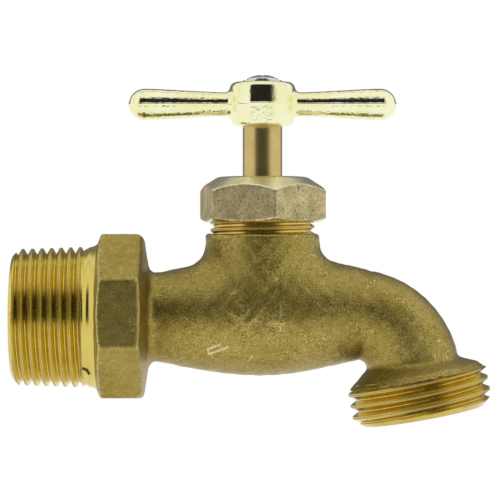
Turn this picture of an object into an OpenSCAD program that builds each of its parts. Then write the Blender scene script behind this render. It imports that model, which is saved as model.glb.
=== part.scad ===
// Hose bib: a tee-handled compression valve with a male pipe inlet and a
// down-turned hose outlet. The origin is the centre of the inlet's end face,
// +X runs along the inlet into the valve and +Z runs up the stem.

/* [Inlet] */
// Thread diameter at the big end of the pipe taper
inlet_thread_d = 26.9; // [25:0.1:29]
// Length of the tapered pipe thread
inlet_thread_len = 13.4; // [11:0.2:18]
// Length over which the pipe thread grows by one millimetre in diameter
inlet_taper_len = 16; // [12:1:24]
// Diameter of the smooth band behind the thread
inlet_band_d = 27.3; // [27:0.1:29]
// Length of the smooth band
inlet_band_len = 2.8; // [1.5:0.1:5]
// Bore of the inlet behind its end face
inlet_bore_d = 19; // [14:0.2:20.4]
// Depth of that bore, before it narrows to the waterway
inlet_bore_len = 18; // [12:0.5:20]
// Chamfer on the end of each thread
thread_chamfer = 0.9; // [0.4:0.1:1.4]

/* [Wrench section] */
// Size across the eight wrench flats
wrench_af = 32; // [30:0.5:36]
// Length of the wrench section along the inlet
wrench_len = 8.8; // [6:0.2:12]
// Slope of the front chamfer, in millimetres of radius per millimetre
wrench_bevel = 3; // [1.2:0.1:4]
// Draft of the back face: how far it leans over its height
wrench_draft = 1.1; // [0.4:0.1:2]
// Rounding of the back edge
wrench_edge = 1; // [0.4:0.1:1.6]
// Fillet between the wrench section and the throat
throat_fillet = 1.4; // [0.8:0.1:3]

/* [Casting] */
// Diameter of the throat behind the wrench section
throat_d = 16.8; // [16.4:0.2:20]
// Distance from the inlet's end face to the stem
stem_x = 47.9; // [46:0.1:53]
// Diameter of the globe at the stem
globe_d = 22.3; // [21.9:0.1:26]
// Wall of the casting
wall = 2.6; // [2:0.1:3]
// Diameter of the neck
neck_d = 21.7; // [20.8:0.1:22.6]
// Height of the neck's shoulder above the inlet's axis
neck_z = 16; // [15:0.1:20]
// Rounding of the neck's shoulder
neck_edge = 0.7; // [0.3:0.1:1.2]
// Size of the fillet between the neck and the globe
neck_fillet = 2.4; // [1:0.1:3.2]

/* [Spout] */
// Diameter of the spout's tube round the bend
spout_d = 17; // [16:0.2:19]
// Centre-line radius of the bend
bend_r = 12.1; // [11.4:0.1:14]
// Distance of the bend's centre beyond the stem
bend_reach = 17.3; // [16:0.1:22]
// Depth of the bend's centre below the inlet's axis
bend_drop = 11.5; // [10.5:0.1:14]
// Slope of the spout where the bend begins
bend_start = 12.5; // [6:0.5:20]
// Tilt of the outlet from straight down
outlet_tilt = 11; // [5:0.5:20]

/* [Outlet] */
// Outside diameter of the hose thread
hose_thread_d = 26.99; // [25.5:0.01:28]
// Length of the hose thread
hose_thread_len = 7.4; // [7:0.1:11]
// Length of the shoulder between the thread and the bend
hose_shoulder_len = 2.4; // [2:0.1:5]
// Width of the chamfer round the outlet's end face
outlet_chamfer = 1.5; // [0.8:0.1:2]
// Bore of the outlet
outlet_bore_d = 19; // [16:0.2:21]
// Depth of that bore
outlet_bore_len = 7.4; // [5:0.2:8.4]

/* [Seat] */
// Height of the seat's rim above the inlet's axis
seat_z = -0.5; // [-1:0.1:0]
// Diameter of the hole in the seat
seat_hole_d = 7.6; // [6.6:0.1:8]
// Outside diameter of the seat's rim
seat_rim_d = 10.2; // [9.4:0.1:11]
// Height of the rim above the floor round it
seat_rim_h = 1.3; // [0.8:0.1:1.5]
// Thickness of the web that carries the seat
web_t = 1.6; // [1.2:0.1:2]
// Diameter of the chamber above the seat
chamber_d = 14; // [13.4:0.1:14.4]
// Height of the thread's lower end above the inlet's axis
chamber_top = 7.6; // [6.8:0.1:8.4]

/* [Stem] */
// Outside diameter of the stem's thread
stem_thread_d = 12; // [11.4:0.1:12.6]
// Length of the stem's thread
stem_thread_len = 6.4; // [5:0.1:6.5]
// Diameter of the stem's shaft
stem_d = 7.6; // [7:0.1:8.2]
// Thickness of the stem's foot above the washer's cup
foot_t = 2.4; // [1.6:0.1:3]
// Depth of the cup that holds the seat washer
cup_depth = 1.6; // [1:0.1:2]
// Size across the square that drives the handle
square_af = 5.3; // [4.8:0.1:5.6]
// Length of that square
square_len = 7.2; // [5:0.1:7.6]
// Depth by which the shaft enters the handle
shaft_entry = 1; // [0.5:0.1:2]

/* [Seat washer] */
// Thickness of the rubber seat washer
seat_washer_t = 3.2; // [2.6:0.1:4]
// Shank diameter of the washer's screw
foot_screw_d = 2.8; // [2.2:0.1:3.2]
// Head diameter of the washer's screw
foot_screw_head_d = 5.4; // [4.6:0.1:6]
// Head height of the washer's screw
foot_screw_head_h = 1.5; // [1:0.1:2]
// Length of that screw's shank
foot_screw_len = 7.5; // [5:0.5:9]

/* [Packing] */
// Outside diameter of the neck's thread
neck_thread_d = 20; // [19.4:0.1:20.4]
// Length of the neck's thread
neck_thread_len = 7.6; // [6.6:0.1:8.4]
// Diameter of the stuffing box
packing_d = 14; // [13.2:0.1:15]
// Depth of the stuffing box
packing_depth = 6.3; // [5.6:0.1:6.6]
// Thickness of the brass washer under the packing
packing_washer_t = 1; // [0.6:0.1:1.4]
// Thickness of each packing ring
packing_ring_t = 2; // [1.6:0.1:2.2]
// Thickness of the follower's flange above the stuffing box
follower_flange_t = 1.2; // [0.8:0.1:1.6]

/* [Packing nut] */
// Size across the nut's six flats
nut_af = 22.2; // [21.8:0.1:24]
// Gap between the neck's shoulder and the nut
nut_gap = 2.2; // [1:0.1:2.6]
// Thickness of the nut's top
nut_top_t = 2.1; // [1.6:0.1:2.8]
// Diameter of the nut's top face, inside its chamfer
nut_top_d = 17; // [15:0.5:18]
// Drop of the chamfer from the top face to the corners
nut_bevel = 2.8; // [1.6:0.1:3.4]
// Turn of the nut about the stem
nut_turn = 11; // [0:1:60]

/* [Handle] */
// Length of the tee handle from tip to tip
handle_len = 51.4; // [44:0.2:64]
// Gap between the nut and the handle when the valve is shut
handle_gap = 9.7; // [8:0.1:14]
// Diameter of the hub at its parting line
hub_d = 12.9; // [12:0.1:15]
// Diameter of the hub at its foot
hub_foot_d = 12.1; // [11.4:0.1:14]
// Height of the hub
hub_h = 8.5; // [8:0.1:9.5]
// Rounding of the hub's top edge
hub_round = 2.1; // [1:0.1:2.6]
// Diameter of each arm where it leaves the hub
arm_root_d = 4.5; // [3.6:0.1:5.4]
// Diameter of each arm at its thick end
arm_tip_d = 6.1; // [5:0.1:7]
// Length of the rounded end of each arm
arm_round = 3; // [2:0.1:4]
// Size of the fillet between each arm and the hub
arm_fillet = 1.1; // [0.6:0.1:1.6]
// Shank diameter of the handle's screw
top_screw_d = 3.6; // [3:0.1:3.8]
// Length of that screw's shank below the washer
top_screw_len = 7; // [5:0.5:9]
// Head diameter of the handle's screw
top_screw_head_d = 6.1; // [5.4:0.1:7]
// Head height of the handle's screw
top_screw_head_h = 1.1; // [0.8:0.1:1.6]
// Diameter of the washer under the screw
top_washer_d = 7.5; // [7:0.1:8.4]
// Thickness of that washer
top_washer_t = 0.35; // [0.2:0.05:0.8]

/* [Clearances] */
// Radial clearance of the stem in the parts that it turns in
running = 0.06; // [0.03:0.01:0.09]
// Radial clearance between parts that are screwed or slipped together
slip = 0.05; // [0.03:0.01:0.1]

/* [Hidden] */
$fn = 64;
past = 1;          // how far a cut runs past the face that it opens
touch = 0.1;       // how far two solids that are one piece run into each other
skin_sides = 40;   // sides of the casting's rounded skin
way_sides = 24;    // sides of the waterway's skin
throat_steps = 8;  // rings of the skin from the throat to the stem
taper_steps = 8;   // rings from the stem to the bend
bend_steps = 9;    // rings round the bend
swell_ratio = 1.8; // how long the taper keeps the globe's size
lead_ratio = 0.6;  // share of the bend's first slope that the taper takes up early

// Along the inlet
wrench_x = inlet_thread_len + inlet_band_len;
wrench_end = wrench_x + wrench_len;
throat_x = wrench_end + wrench_draft + throat_fillet;
throat_r = throat_d / 2;
globe_r = globe_d / 2;
waterway_d = throat_d - 2 * wall;

// Bend and outlet: a point on the bend's centre line, at a tilt from level
bend_x = stem_x + bend_reach;
function on_bend(tilt) = [
    bend_x + bend_r * sin(tilt), -bend_drop + bend_r * cos(tilt)
];
bend_end = 90 - outlet_tilt;
outlet_len = hose_thread_len + hose_shoulder_len;
outlet_at = on_bend(bend_end) + outlet_len * [sin(outlet_tilt), -cos(outlet_tilt)];

// Up the stem
web_top = seat_z - seat_rim_h;
washer_top = seat_z + seat_washer_t;
cup_z = washer_top - cup_depth;
thread_z = washer_top + foot_t;
neck_bore_d = stem_thread_d + 2 * running;
neck_top = neck_z + neck_thread_len;
packing_z = neck_top - packing_depth;
ring_z = packing_z + packing_washer_t;
follower_z = ring_z + 2 * packing_ring_t;
follower_top = neck_top + slip + follower_flange_t;
nut_z = neck_z + nut_gap;
nut_top = follower_top + nut_top_t;
hub_z = nut_top + handle_gap;
hub_top = hub_z + hub_h;
arm_z = hub_z + hub_h / 2;
square_z = hub_z + shaft_entry;
foot_d = stem_thread_d - 4 * slip;
seat_washer_d = seat_rim_d;
follower_flange_d = packing_d + follower_flange_t / 2;

// Points of an arc, from one angle to another
function arc(x, y, r, from, to, steps = 6) = [
    for (i = [0:steps])
        let (a = from + (to - from) * i / steps) [x + r * cos(a), y + r * sin(a)]
];

// Turns a solid of revolution from the Z axis to the X axis
module along_x() rotate([0, 90, 0]) children();

// A round-sectioned skin through stations of [x, z, tilt, radius]
function ring(station, sides) = [
    for (j = [0:sides - 1])
        let (a = 360 * j / sides, tilt = station[2], r = station[3]) [
            station[0] + r * cos(a) * sin(tilt),
            r * sin(a),
            station[1] + r * cos(a) * cos(tilt)
        ]
];
module skin(stations, sides) {
    rings = len(stations);
    polyhedron(
        points = [for (s = stations) each ring(s, sides)],
        faces = concat(
            [[for (j = [sides - 1:-1:0]) j]],
            [for (i = [0:rings - 2], j = [0:sides - 1])
                let (k = (j + 1) % sides, a = i * sides, b = a + sides)
                    [a + j, a + k, b + k, b + j]],
            [[for (j = [0:sides - 1]) (rings - 1) * sides + j]]
        )
    );
}

// Stations of the casting: throat, globe, taper to the bend, bend, outlet
bend_in = on_bend(bend_start);
function throat_station(u) = [
    throat_x + u * (stem_x - throat_x), 0, 0,
    throat_r + (globe_r - throat_r) * sin(90 * u)
];
taper_len = bend_in[0] - stem_x;
function taper_station(u) = [
    stem_x + u * taper_len,
    bend_in[1] * u * u * (3 - 2 * u) + lead_ratio * taper_len * tan(bend_start) * u * u * (1 - u),
    bend_start * u * u,
    globe_r - (globe_r - spout_d / 2) * pow(u, swell_ratio)
];
function bend_station(tilt) = concat(on_bend(tilt), [tilt, spout_d / 2]);
function outlet_station(s) = concat(
    on_bend(bend_end) + s * [sin(outlet_tilt), -cos(outlet_tilt)],
    [bend_end, spout_d / 2]
);
casting = concat(
    [[wrench_end - past, 0, 0, throat_r], [throat_x - past / 2, 0, 0, throat_r]],
    [for (i = [1:throat_steps]) throat_station(i / throat_steps)],
    [for (i = [1:taper_steps]) taper_station(i / taper_steps)],
    [for (i = [1:bend_steps])
        bend_station(bend_start + (bend_end - bend_start) * i / bend_steps)],
    [outlet_station(hose_shoulder_len)]
);
function thinner(station) = [station[0], station[1], station[2], station[3] - wall];

// Tapered stub, smooth band and the end's chamfer
module inlet_stub() {
    big = inlet_thread_d / 2;
    small = big - inlet_thread_len / inlet_taper_len / 2;
    along_x() rotate_extrude() polygon([
        [0, 0], [small - thread_chamfer, 0], [small, thread_chamfer],
        [big, inlet_thread_len - thread_chamfer / 2],
        [inlet_band_d / 2, inlet_thread_len],
        [inlet_band_d / 2, wrench_x + past], [0, wrench_x + past]
    ]);
}

// Eight wrench flats, bevelled in front, drafted and filleted behind
module wrench_section() {
    flat_count = 8;
    half = wrench_af / 2;
    corner = half / cos(180 / flat_count);
    band = inlet_band_d / 2;
    full = corner + touch;
    intersection() {
        translate([wrench_x, 0, 0]) along_x() rotate([0, 0, 180 / flat_count])
            cylinder(h = throat_x - wrench_x, r = corner, $fn = flat_count);
        along_x() rotate_extrude() polygon(concat(
            [[0, wrench_x], [band, wrench_x], [full, wrench_x + (full - band) / wrench_bevel]],
            [[full, wrench_end - 2 * wrench_edge]],
            arc(half - wrench_edge, wrench_end - wrench_edge, wrench_edge, 0, 90, 3),
            arc(throat_r + throat_fillet, throat_x, throat_fillet, 270, 180, 4),
            [[0, throat_x]]
        ));
    }
}

// Neck with its rounded shoulder, and the thread that takes the nut
module neck() {
    r = neck_d / 2;
    t = neck_thread_d / 2;
    translate([stem_x, 0, 0]) rotate_extrude() polygon(concat(
        [[0, 0], [r, 0]],
        arc(r - neck_edge, neck_z - neck_edge, neck_edge, 0, 90, 4),
        [[t, neck_z], [t, neck_top - thread_chamfer / 2],
         [t - thread_chamfer / 2, neck_top], [0, neck_top]]
    ));
}

// Station of the casting at a distance from the inlet, near the neck
function station_at(x) = x < stem_x
    ? throat_station((x - throat_x) / (stem_x - throat_x))
    : taper_station((x - stem_x) / taper_len);

// Height of the globe's skin at a place in plan
function globe_top(x, y) =
    let (s = station_at(x)) s[1] + sqrt(max(0, s[3] * s[3] - y * y));

// Fillet where the neck runs into the globe, wide in front and behind along
// the flow and dying out at the sides, where the two surfaces run together
module neck_blend() {
    r = neck_d / 2;
    thin = 0.15;      // share of the fillet's size that is left at the sides
    sink = 0.12;      // how deep the fillet's edges run under both skins
    deep = 1.5;       // depth of its hidden underside
    inset = 2;        // how far it reaches inside the neck
    steps = 5;
    count = 40;
    sections = [for (i = [0:count - 1])
        let (
            turn = 360 * i / count,
            f = neck_fillet * (thin + (1 - thin) * abs(cos(turn))),
            y = r * sin(turn),
            x = stem_x + r * cos(turn),
            xb = stem_x + (r + f) * cos(turn),
            corner = [x, y, globe_top(x, y)],
            up = corner + [-sink * cos(turn), -sink * sin(turn), f],
            out = [xb, y, globe_top(xb, y) - sink],
            inner = [stem_x + (r - inset) * cos(turn), (r - inset) * sin(turn)]
        ) [
            concat(inner, [up[2]]),
            for (i = [0:steps]) let (t = i / steps)
                (1 - t) * (1 - t) * up + 2 * t * (1 - t) * corner + t * t * out,
            [xb, y * (1 - thin), out[2] - deep],
            concat(inner, [out[2] - deep])
        ]];
    n = len(sections[0]);
    polyhedron(
        points = [for (s = sections) each s],
        faces = [for (i = [0:count - 1], j = [0:n - 1])
            let (a = i * n, b = ((i + 1) % count) * n, k = (j + 1) % n)
                each [[a + j, b + j, b + k], [a + j, b + k, a + k]]]
    );
}

// Places a solid on the outlet's axis, with its end face at the origin
module at_outlet()
    translate([outlet_at[0], 0, outlet_at[1]]) rotate([0, -outlet_tilt, 0]) children();

// Hose thread and the shoulder that flares out to it
module outlet_end() {
    r = hose_thread_d / 2;
    tube = spout_d / 2;
    lip = 1.1;        // width of the slope between the thread and the ledge
    foot = 1.6;       // how far the ledge's foot stands off the tube
    sink = 0.6;       // how far the shoulder runs on inside the tube
    at_outlet() rotate_extrude() polygon([
        [0, 0], [r - outlet_chamfer, 0], [r, thread_chamfer],
        [r, hose_thread_len - lip / 5], [r - lip, hose_thread_len + lip * 3 / 4],
        [tube + foot, hose_thread_len + hose_shoulder_len * 0.62],
        [tube + foot / 4, outlet_len - hose_shoulder_len / 10],
        [tube - sink, outlet_len + sink], [0, outlet_len + sink]
    ]);
}

// Inlet bore, narrowing to the waterway that ends at the seat's wall
module inlet_waterway() {
    bore = inlet_bore_d / 2;
    way = waterway_d / 2;
    narrow = inlet_bore_len + (bore - way) * 2;
    end = stem_x - chamber_d / 2 - wall;
    along_x() rotate_extrude() polygon([
        [0, -past], [bore, -past], [bore, inlet_bore_len], [way, narrow],
        [way, end], [0, end]
    ]);
}

// Chamber under the seat, with the way down to it from the inlet
module lower_chamber() {
    top = web_top - web_t;
    start = stem_x - chamber_d / 2 - 3 * wall;
    way = waterway_d / 2;
    half = chamber_d / 2 - past / 2;
    deep = globe_r - wall;
    intersection() {
        union() {
            translate([stem_x, 0, top - 2 * globe_r]) cylinder(h = 2 * globe_r, r = half);
            translate([start, -half, top - 2 * globe_r])
                cube([stem_x - start, 2 * half, 2 * globe_r]);
        }
        along_x() rotate_extrude() polygon([
            [0, start], [way, start], [deep, stem_x - half], [deep, stem_x + half],
            [0, stem_x + half]
        ]);
    }
}

// Chamber over the seat, the seat's raised rim and its hole
module upper_chamber() {
    translate([stem_x, 0, 0]) {
        difference() {
            translate([0, 0, web_top]) cylinder(h = chamber_top - web_top, d = chamber_d);
            translate([0, 0, web_top - past]) cylinder(h = seat_rim_h + past, d = seat_rim_d);
        }
        translate([0, 0, web_top - web_t - past])
            cylinder(h = seat_rim_h + web_t + 2 * past, d = seat_hole_d);
    }
}

// Threaded bore for the stem and the stuffing box over it
module neck_bores() translate([stem_x, 0, 0]) {
    translate([0, 0, chamber_top - past]) cylinder(h = neck_top, d = neck_bore_d);
    translate([0, 0, packing_z]) cylinder(h = packing_depth + past, d = packing_d);
}

// Way out of the upper chamber, round the bend and out of the mouth
module spout_waterway() {
    port_r = (chamber_top - seat_z) / 2 - touch;
    way = spout_d / 2 - wall;
    step = 0.1;       // machined bore over the cored way that it meets
    first_step = 4;   // ring of the taper where the cored way takes over
    more_steps = 2;   // how many rings the machined port runs on into it
    mouth = outlet_bore_d / 2;
    translate([stem_x, 0, seat_z + port_r + touch]) along_x()
        cylinder(h = (first_step + more_steps) / taper_steps * taper_len, r = port_r);
    skin([
        for (i = [first_step:taper_steps]) thinner(taper_station(i / taper_steps)),
        for (i = [1:bend_steps])
            thinner(bend_station(bend_start + (bend_end - bend_start) * i / bend_steps)),
        thinner(outlet_station(hose_shoulder_len))
    ], way_sides);
    at_outlet() rotate_extrude() polygon([
        [0, -past], [mouth, -past], [mouth, outlet_bore_len],
        [way + step, outlet_bore_len + (mouth - way) / 2],
        [way + step, outlet_len - past / 2], [0, outlet_len - past / 2]
    ]);
}

module valve_body() color("darkgoldenrod") difference() {
    union() {
        inlet_stub();
        wrench_section();
        skin(casting, skin_sides);
        neck();
        neck_blend();
        outlet_end();
    }
    inlet_waterway();
    lower_chamber();
    upper_chamber();
    neck_bores();
    spout_waterway();
}

// Hexagon with a domed top bevel, hollow for the neck and the follower
module packing_nut() color("goldenrod") translate([stem_x, 0, 0]) {
    corner = nut_af / 2 / cos(30);
    foot_edge = 0.7;  // height of the chamfer under the corners
    dome = 0.45;      // share of the bevel's height where it turns steeper
    difference() {
        intersection() {
            translate([0, 0, nut_z]) rotate([0, 0, nut_turn - 90])
                cylinder(h = nut_top - nut_z, r = corner, $fn = 6);
            rotate_extrude() polygon([
                [0, nut_z], [nut_af / 2 - touch, nut_z], [corner + touch, nut_z + foot_edge],
                [corner + touch, nut_top - nut_bevel],
                [(corner + nut_top_d / 2) / 2 + 2 * touch, nut_top - nut_bevel * dome],
                [nut_top_d / 2, nut_top], [0, nut_top]
            ]);
        }
        translate([0, 0, nut_z - past])
            cylinder(h = neck_top - nut_z + 2 * past, d = neck_thread_d + 2 * slip);
        translate([0, 0, nut_z])
            cylinder(h = follower_top - nut_z, d = follower_flange_d + 4 * slip);
        translate([0, 0, nut_z]) cylinder(h = nut_top, d = stem_d + 6 * running);
    }
}

// A ring on the stem's axis
module stem_ring(z, h, outer, inner) translate([stem_x, 0, z]) difference() {
    cylinder(h = h, d = outer);
    translate([0, 0, -past]) cylinder(h = h + 2 * past, d = inner);
}

// Follower: a sleeve that enters the stuffing box under a flange
module gland_follower() color("peru") {
    inner = stem_d + 2 * running;
    stem_ring(follower_z, follower_top - follower_z, packing_d - 2 * slip, inner);
    stem_ring(neck_top + slip, follower_flange_t, follower_flange_d, inner);
}

module packing_ring_upper() color("dimgray")
    stem_ring(ring_z + packing_ring_t, packing_ring_t, packing_d - 2 * slip, stem_d + 2 * running);

module packing_ring_lower() color("dimgray")
    stem_ring(ring_z, packing_ring_t, packing_d - 2 * slip, stem_d + 2 * running);

module packing_washer() color("peru")
    stem_ring(packing_z, packing_washer_t, packing_d - 2 * slip, stem_d + 2 * running);

// Stem: washer cup and foot, thread, shaft and the square for the handle
module stem() color("burlywood") translate([stem_x, 0, 0]) difference() {
    r = stem_thread_d / 2;
    shaft = stem_d / 2;
    edge = 0.6;       // width of the thread's end chamfers
    waist = shaft + edge;
    thread_end = thread_z + stem_thread_len;
    union() {
        rotate_extrude() polygon([
            [0, cup_z], [foot_d / 2, cup_z], [foot_d / 2, washer_top + foot_t * 0.4],
            [waist, washer_top + foot_t * 0.7], [waist, thread_z - edge / 2],
            [r - edge, thread_z - edge / 2], [r, thread_z + edge / 2],
            [r, thread_end - edge], [r - edge, thread_end],
            [shaft, thread_end], [shaft, square_z], [0, square_z]
        ]);
        translate([-square_af / 2, -square_af / 2, square_z - past])
            cube([square_af, square_af, square_len + past]);
    }
    translate([0, 0, cup_z - past]) cylinder(h = cup_depth + past, d = seat_washer_d + 4 * slip);
    translate([0, 0, seat_z - past])
        cylinder(h = foot_screw_len + 2 * past, d = foot_screw_d + 2 * slip);
    translate([0, 0, hub_top - top_screw_len])
        cylinder(h = top_screw_len + past, d = top_screw_d + 2 * slip);
}

module seat_washer() color("black")
    stem_ring(seat_z, seat_washer_t, seat_washer_d, foot_screw_d + 2 * running);

// Screw that holds the seat washer in its cup
module seat_washer_screw() color("gold") translate([stem_x, 0, 0]) difference() {
    head = foot_screw_head_d / 2;
    round = foot_screw_head_h * 2 / 3;
    slot = 0.8;       // width of the driver's slot
    union() {
        rotate_extrude() polygon(concat(
            [[0, seat_z], [0, seat_z - foot_screw_head_h]],
            arc(head - round, seat_z - foot_screw_head_h + round, round, 270, 360, 3),
            [[head, seat_z]]
        ));
        translate([0, 0, seat_z - touch])
            cylinder(h = foot_screw_len + touch, d = foot_screw_d);
    }
    translate([-head - past, -slot / 2, seat_z - foot_screw_head_h - past])
        cube([2 * head + 2 * past, slot, foot_screw_head_h / 2 + past]);
}

// One arm: a slim root that swells to a blunt, rounded end
module handle_arm() {
    root = arm_root_d / 2;
    tip = arm_tip_d / 2;
    reach = handle_len / 2;
    flare = hub_d / 2 - 0.4;
    inner = square_af / 2;
    along_x() rotate_extrude() polygon(concat(
        [[0, inner], [root, inner], [root + arm_fillet, flare],
         [root + arm_fillet / 3, flare + arm_fillet * 2 / 3],
         [root, flare + arm_fillet * 2]],
        [[(root + tip) / 2 + touch, (flare + reach) / 2]],
        [for (i = [0:6]) let (a = 90 * i / 6)
            [tip * cos(a), reach - arm_round + arm_round * sin(a)]]
    ));
}

// Tee handle: a drafted hub with a domed top, carried on the stem's square
module tee_handle() color("khaki") translate([stem_x, 0, 0]) difference() {
    r = hub_d / 2;
    edge = 0.5;       // chamfer round the hub's foot
    draft = 0.1;      // how much the hub narrows above its parting line
    union() {
        rotate_extrude() polygon(concat(
            [[0, hub_z], [hub_foot_d / 2 - edge, hub_z], [hub_foot_d / 2, hub_z + edge],
             [r, arm_z]],
            arc(r - draft - hub_round, hub_top - hub_round, hub_round, 0, 90, 6),
            [[0, hub_top]]
        ));
        for (side = [0, 180]) translate([0, 0, arm_z]) rotate([0, 0, side]) handle_arm();
    }
    translate([0, 0, hub_z - past]) cylinder(h = shaft_entry + past, d = stem_d + 4 * slip);
    translate([-square_af / 2 - slip, -square_af / 2 - slip, hub_z])
        cube([square_af + 2 * slip, square_af + 2 * slip, hub_h + past]);
}

module handle_screw_washer() color("silver")
    stem_ring(hub_top, top_washer_t, top_washer_d, top_screw_d + 4 * slip);

// Domed screw with a cross recess
module handle_screw() color("silver") translate([stem_x, 0, hub_top + top_washer_t]) {
    r = top_screw_head_d / 2;
    h = top_screw_head_h;
    ball = (r * r + h * h) / (2 * h);
    spread = asin(r / ball);
    shank = top_screw_len - past / 2;
    cross = [r * 1.05, 0.7, 0.7]; // length, width and depth of the recess's arms
    difference() {
        union() {
            rotate_extrude() polygon(concat(
                [[0, 0], [r, 0]],
                arc(0, h - ball, ball, 90 - spread, 90, 8)
            ));
            translate([0, 0, -top_washer_t - shank])
                cylinder(h = top_washer_t + shank + touch, d = top_screw_d);
        }
        for (turn = [0, 90]) rotate([0, 0, turn])
            translate([-cross[0] / 2, -cross[1] / 2, h - cross[2]])
                cube([cross[0], cross[1], cross[2] + past]);
    }
}

valve_body();
packing_nut();
gland_follower();
packing_ring_upper();
packing_ring_lower();
packing_washer();
stem();
seat_washer();
seat_washer_screw();
tee_handle();
handle_screw();
handle_screw_washer();
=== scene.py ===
import math
from functools import reduce

import bmesh
import bpy
import numpy as np
from bpy.props import FloatProperty, FloatVectorProperty, PointerProperty
from bpy.types import Operator, Panel, PropertyGroup
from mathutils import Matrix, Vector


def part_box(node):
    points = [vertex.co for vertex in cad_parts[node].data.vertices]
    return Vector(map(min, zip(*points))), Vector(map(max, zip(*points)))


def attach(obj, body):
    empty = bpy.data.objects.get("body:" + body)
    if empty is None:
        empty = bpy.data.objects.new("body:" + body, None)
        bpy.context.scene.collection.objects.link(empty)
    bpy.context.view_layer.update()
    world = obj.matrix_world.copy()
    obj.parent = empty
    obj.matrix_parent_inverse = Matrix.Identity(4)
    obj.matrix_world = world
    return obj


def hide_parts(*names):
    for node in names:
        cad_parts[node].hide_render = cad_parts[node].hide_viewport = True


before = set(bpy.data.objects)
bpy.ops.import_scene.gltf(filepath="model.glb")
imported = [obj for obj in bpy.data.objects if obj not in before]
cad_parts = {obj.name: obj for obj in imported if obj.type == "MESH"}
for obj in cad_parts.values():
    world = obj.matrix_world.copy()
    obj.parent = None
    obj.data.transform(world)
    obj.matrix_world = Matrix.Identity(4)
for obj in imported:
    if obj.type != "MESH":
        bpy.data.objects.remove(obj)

bl_info = {
    "name": "Hose bib",
    "version": (1, 0, 0),
    "blender": (4, 5, 0),
    "location": "View3D > Sidebar > Hose bib",
    "description": "Builds the finished look of a brass hose bib round its packed frame",
    "category": "Add Mesh",
}

# ---- sizes
# Lengths inside this file are millimetres, and meshes are made in metres.
# Places come from the frame's own boxes.
MM = 0.001
TINY = 1e-9


def span(node):
    """Lowest and highest corner of a frame node, in millimetres"""
    low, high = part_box(node)
    return np.array(low) / MM, np.array(high) / MM


BODY_LOW, BODY_HIGH = span("valve_body")
NUT_LOW, NUT_HIGH = span("packing_nut")
STEM_LOW, STEM_HIGH = span("stem")
HANDLE_LOW, HANDLE_HIGH = span("tee_handle")
SCREW_LOW, SCREW_HIGH = span("handle_screw")
SHIM_LOW, SHIM_HIGH = span("handle_screw_washer")
STEM_X = round(float(STEM_LOW[0] + STEM_HIGH[0]) / 2, 2)


def dial(name, description, default, low, high, **unit):
    """A size that can be set in the panel"""
    return FloatProperty(name=name, description=description, default=default, min=low, max=high, **unit)


def swatch(name, description, default):
    """A colour that can be set in the panel"""
    return FloatVectorProperty(
        name=name, description=description, subtype="COLOR", default=default, min=0, max=1)


class CastingSizes(PropertyGroup):
    """Sizes of the cast body"""
    detail: dial("Mesh detail", "Size of the casting's mesh cells, in millimetres", 0.4, 0.2, 1.5)
    unevenness: dial("Unevenness", "How far the cast skin wanders, in millimetres", 0.07, 0, 0.3)
    seam: dial("Mould seam", "Height of the ground mould seam, in millimetres", 0.09, 0, 0.4)
    numeral: dial(
        "Numeral height", "How far the cast size numerals stand up, in millimetres", 0.15, 0, 0.6)


class ThreadSizes(PropertyGroup):
    """Sizes of the cut threads"""
    inlet_pitch: dial("Inlet pitch", "Pitch of the tapered pipe thread, in millimetres", 1.84, 1, 3)
    outlet_pitch: dial("Outlet pitch", "Pitch of the hose thread, in millimetres", 2.209, 1, 3)
    neck_pitch: dial("Neck pitch", "Pitch of the neck's thread, in millimetres", 1.45, 1, 2)
    stem_pitch: dial("Stem lead", "Lead of the stem's thread, in millimetres a turn", 2.4, 1, 3)


class FinishColours(PropertyGroup):
    """Colours of the finishes"""
    cast_dark: swatch("Cast brass, dull", "Dull tone of the tumbled casting", (0.26, 0.19, 0.020))
    cast_light: swatch("Cast brass, light", "Light tone of the tumbled casting", (0.51, 0.40, 0.13))
    cast_bare: swatch("Cast brass, rubbed", "Bare metal where the casting is rubbed", (0.82, 0.70, 0.34))
    cut_brass: swatch("Cut brass", "Freshly cut brass of the threads", (0.70, 0.58, 0.155))
    nut_brass: swatch("Nut brass", "Pale blasted brass of the nut", (0.60, 0.515, 0.295))
    stem_brass: swatch("Stem brass", "Turned brass of the stem", (0.64, 0.50, 0.215))
    plating: swatch("Handle plating", "Bright pale gold of the handle", (0.91, 0.90, 0.61))
    steel: swatch("Screw steel", "Plated steel of the screw", (0.80, 0.81, 0.82))
    floor: swatch("Floor", "Colour of the floor", (0.8, 0.8, 0.8))


class StageSizes(PropertyGroup):
    """Sizes of the stage"""
    camera_distance: dial(
        "Camera distance", "Distance of the camera from the stem's plane", 0.475, 0.2, 3, unit="LENGTH")
    floor_height: dial(
        "Floor height", "Height of the floor below the inlet's axis", -0.052, -0.5, 0, unit="LENGTH")
    tent: dial("Light tent", "Strength of the white tent round the object", 1.0, 0.2, 2)


# ---- fields
# A field is a function of x, y and z that is below zero inside a solid.

def soft_union(a, b, size):
    """Joins two fields with a soft fillet"""
    share = np.clip(0.5 + 0.5 * (b - a) / size, 0, 1)
    return b + (a - b) * share - size * share * (1 - share)


def soft_cut(a, b, size):
    """Keeps what both fields hold, with a soft edge"""
    return -soft_union(-a, -b, size)


def rod(across, along, radius, low, high):
    """A cylinder, given the distance from its axis and the place along it"""
    return np.maximum(across - radius, np.maximum(low - along, along - high))


def turned_cut(across, along, profile):
    """A cavity of revolution whose radius follows (place, radius) pairs"""
    places, radii = zip(*profile)
    radius = np.interp(along, places, radii)
    return np.maximum(across - radius, np.maximum(places[0] - along, along - places[-1]))


def unit(vectors):
    """Vectors of length one"""
    return vectors / np.maximum(np.linalg.norm(vectors, axis=1, keepdims=True), TINY)


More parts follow.
